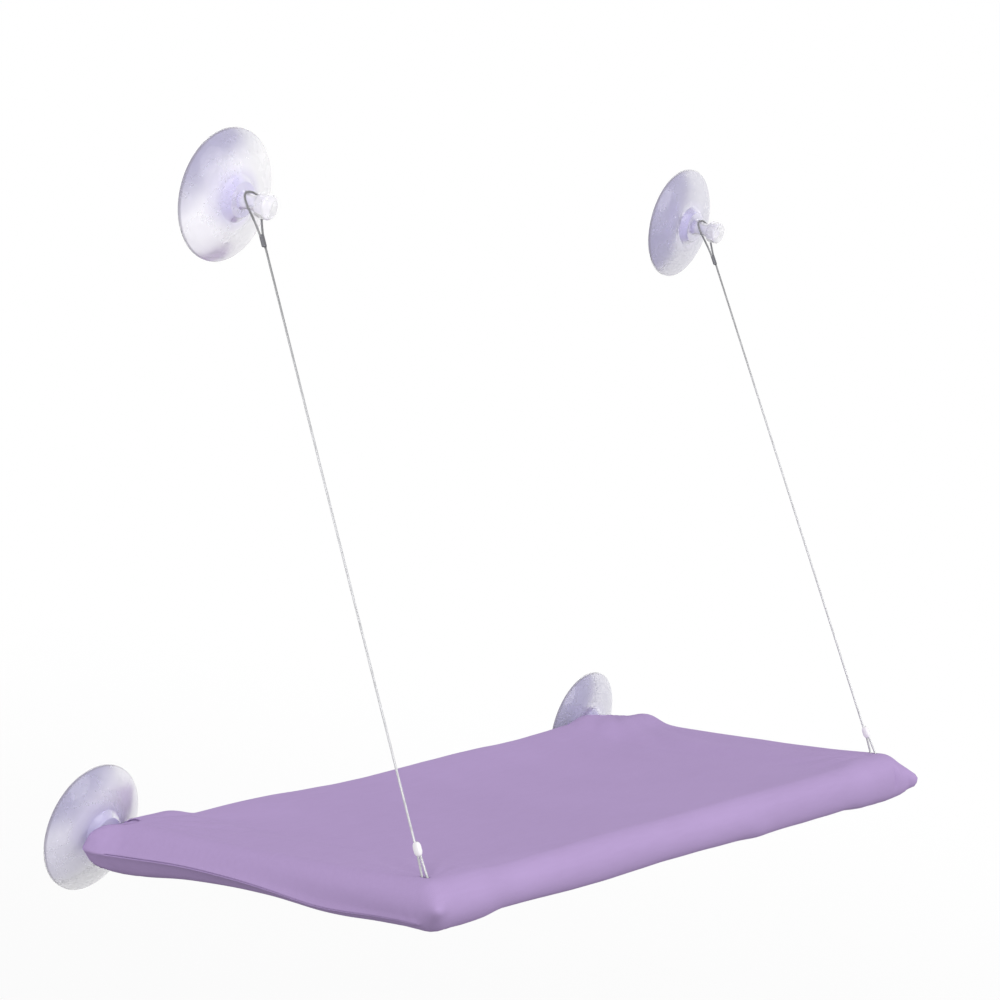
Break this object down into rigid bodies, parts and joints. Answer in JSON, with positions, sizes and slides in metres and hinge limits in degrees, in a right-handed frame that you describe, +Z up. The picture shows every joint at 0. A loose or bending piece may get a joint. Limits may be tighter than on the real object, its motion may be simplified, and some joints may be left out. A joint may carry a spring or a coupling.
{
  "type": "window mounted cat perch",
  "caption": "Window perch for a cat: fabric covered tube bed hung on steel cables from clear suction cups, with a bed that folds up towards the glass.",
  "frame": {"origin": "on the glass, midway between the centres of the two lower suction cups", "axes": "+Y into the window glass, -Y into the room, +X along the window to the right as seen from the room, +Z up"},
  "size_m": [0.669, 0.2821, 0.501],
  "materials": {
    "clear_pvc": "clear soft PVC with a faint lilac tint",
    "steel_wire": "thin stranded steel cable",
    "crimp_steel": "crimped metal sleeve",
    "white_sleeve": "white crimp sleeve",
    "pin_steel": "plain dowel pin",
    "tube_plastic": "extruded plastic tube",
    "elbow_plastic": "moulded plastic fitting",
    "lilac_fabric": "plain woven lilac fabric",
    "hook_and_loop": "hook and loop tape"
  },
  "bodies": {
    "window_cups": {"upper_left_cup": "clear_pvc", "upper_right_cup": "clear_pvc", "lower_left_cup": "clear_pvc", "lower_right_cup": "clear_pvc", "left_cable": "steel_wire", "right_cable": "steel_wire", "upper_left_crimp": "crimp_steel", "upper_right_crimp": "crimp_steel"},
    "bed": {"front_tube": "tube_plastic", "rear_tube": "tube_plastic", "left_tube": "tube_plastic", "right_tube": "tube_plastic", "front_left_elbow": "elbow_plastic", "front_right_elbow": "elbow_plastic", "rear_left_elbow": "elbow_plastic", "rear_right_elbow": "elbow_plastic", "left_cable_pin": "pin_steel", "right_cable_pin": "pin_steel", "left_cable_foot": "steel_wire", "right_cable_foot": "steel_wire", "lower_left_crimp": "white_sleeve", "lower_right_crimp": "white_sleeve", "cover_top": "lilac_fabric", "cover_bottom": "lilac_fabric", "closure_flap": "lilac_fabric", "hook_strip": "hook_and_loop", "loop_strip": "hook_and_loop"}
  },
  "joints": [
    {"name": "bed_fold", "type": "hinge", "parent": "window_cups", "child": "bed", "pos_m": [0, -0.034, 0], "axis": [-1, 0, 0], "range_deg": [0, 75], "deforming": ["left_cable", "right_cable"]}
  ]
}
